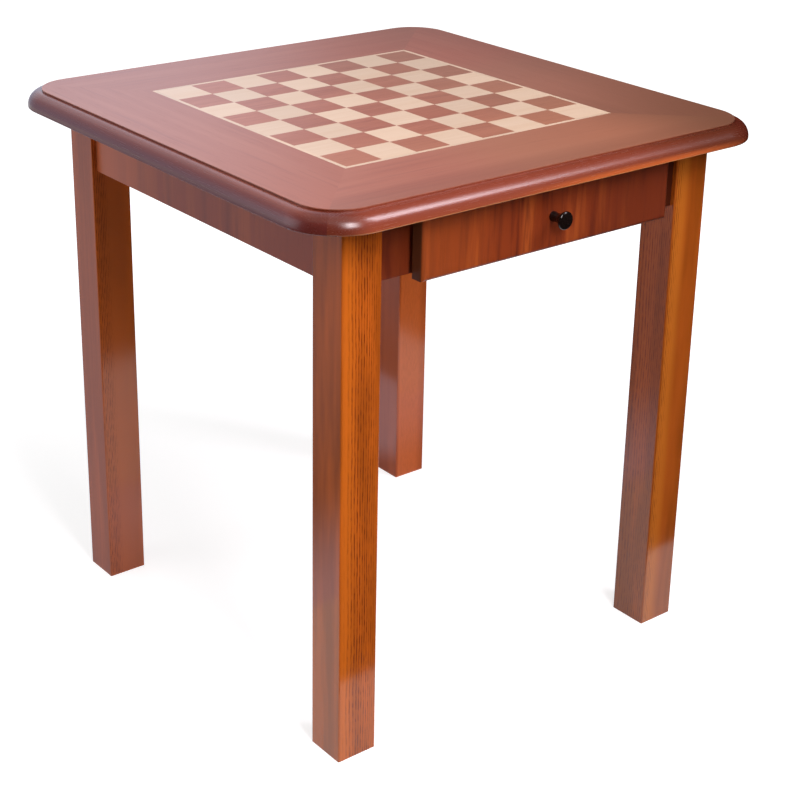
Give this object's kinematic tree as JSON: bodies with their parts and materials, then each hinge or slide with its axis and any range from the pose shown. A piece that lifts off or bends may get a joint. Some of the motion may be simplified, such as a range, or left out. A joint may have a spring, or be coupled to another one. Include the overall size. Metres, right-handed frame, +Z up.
{
  "type": "chess table",
  "caption": "Square wooden chess table: inlaid mahogany and maple board in a moulded, round-cornered top on square legs, with a small knobbed drawer in the front rail.",
  "frame": {"origin": "on the floor, under the middle of the table top", "axes": "+Z up, +X to the right along the drawer side, -Y out of the drawer side"},
  "size_m": [0.727, 0.727, 0.74],
  "materials": {
    "mahogany_veneer": "satin-lacquered red-brown veneer",
    "maple_veneer": "satin-lacquered cream veneer",
    "moulded_mahogany": "gloss-lacquered dark red-brown moulding",
    "stained_oak": "stained and satin-lacquered open-grain wood",
    "apron_veneer": "satin-lacquered veneer with upright grain",
    "panel_board": "unfinished panel board",
    "plain_beech": "planed, unfinished",
    "plywood": "sanded, unfinished",
    "zinc_steel": "zinc plated",
    "black_enamel": "gloss black enamel"
  },
  "bodies": {
    "table": {"apron_back": "apron_veneer", "apron_left": "apron_veneer", "apron_right": "apron_veneer", "backing_veneer": "panel_board", "bolt_nuts": "zinc_steel", "bolt_washers": "zinc_steel", "border_veneer_back": "mahogany_veneer", "border_veneer_front": "mahogany_veneer", "border_veneer_left": "mahogany_veneer", "border_veneer_right": "mahogany_veneer", "brace_screws": "zinc_steel", "bracket_screws": "zinc_steel", "corner_brace_back_left": "plain_beech", "corner_brace_back_right": "plain_beech", "corner_brace_front_left": "plain_beech", "corner_brace_front_right": "plain_beech", "dark_squares": "mahogany_veneer", "drawer_guide_left": "plain_beech", "drawer_guide_right": "plain_beech", "drawer_kicker_left": "plain_beech", "drawer_kicker_right": "plain_beech", "drawer_rail_lower": "plain_beech", "drawer_rail_upper": "plain_beech", "drawer_runner_left": "plain_beech", "drawer_runner_right": "plain_beech", "edge_lipping_back": "moulded_mahogany", "edge_lipping_front": "moulded_mahogany", "edge_lipping_left": "moulded_mahogany", "edge_lipping_right": "moulded_mahogany", "frame_dowels": "plain_beech", "front_apron_left": "apron_veneer", "front_apron_right": "apron_veneer", "hanger_bolts": "zinc_steel", "leg_back_left": "stained_oak", "leg_back_right": "stained_oak", "leg_front_left": "stained_oak", "leg_front_right": "stained_oak", "light_squares": "maple_veneer", "stringing": "maple_veneer", "top_brackets": "zinc_steel", "top_core": "panel_board", "top_screws": "zinc_steel"},
    "drawer": {"drawer_back": "plain_beech", "drawer_bottom": "plywood", "drawer_front": "apron_veneer", "drawer_front_screws": "zinc_steel", "drawer_inner_front": "plain_beech", "drawer_knob": "black_enamel", "drawer_pins": "plain_beech", "drawer_side_left": "plain_beech", "drawer_side_right": "plain_beech", "drawer_stop": "plain_beech", "knob_screw": "zinc_steel", "stop_screws": "zinc_steel"}
  },
  "joints": [
    {"name": "drawer_slide", "type": "slide", "parent": "table", "child": "drawer", "axis": [0, -1, 0], "range_m": [-0.0075, 0.29]}
  ]
}
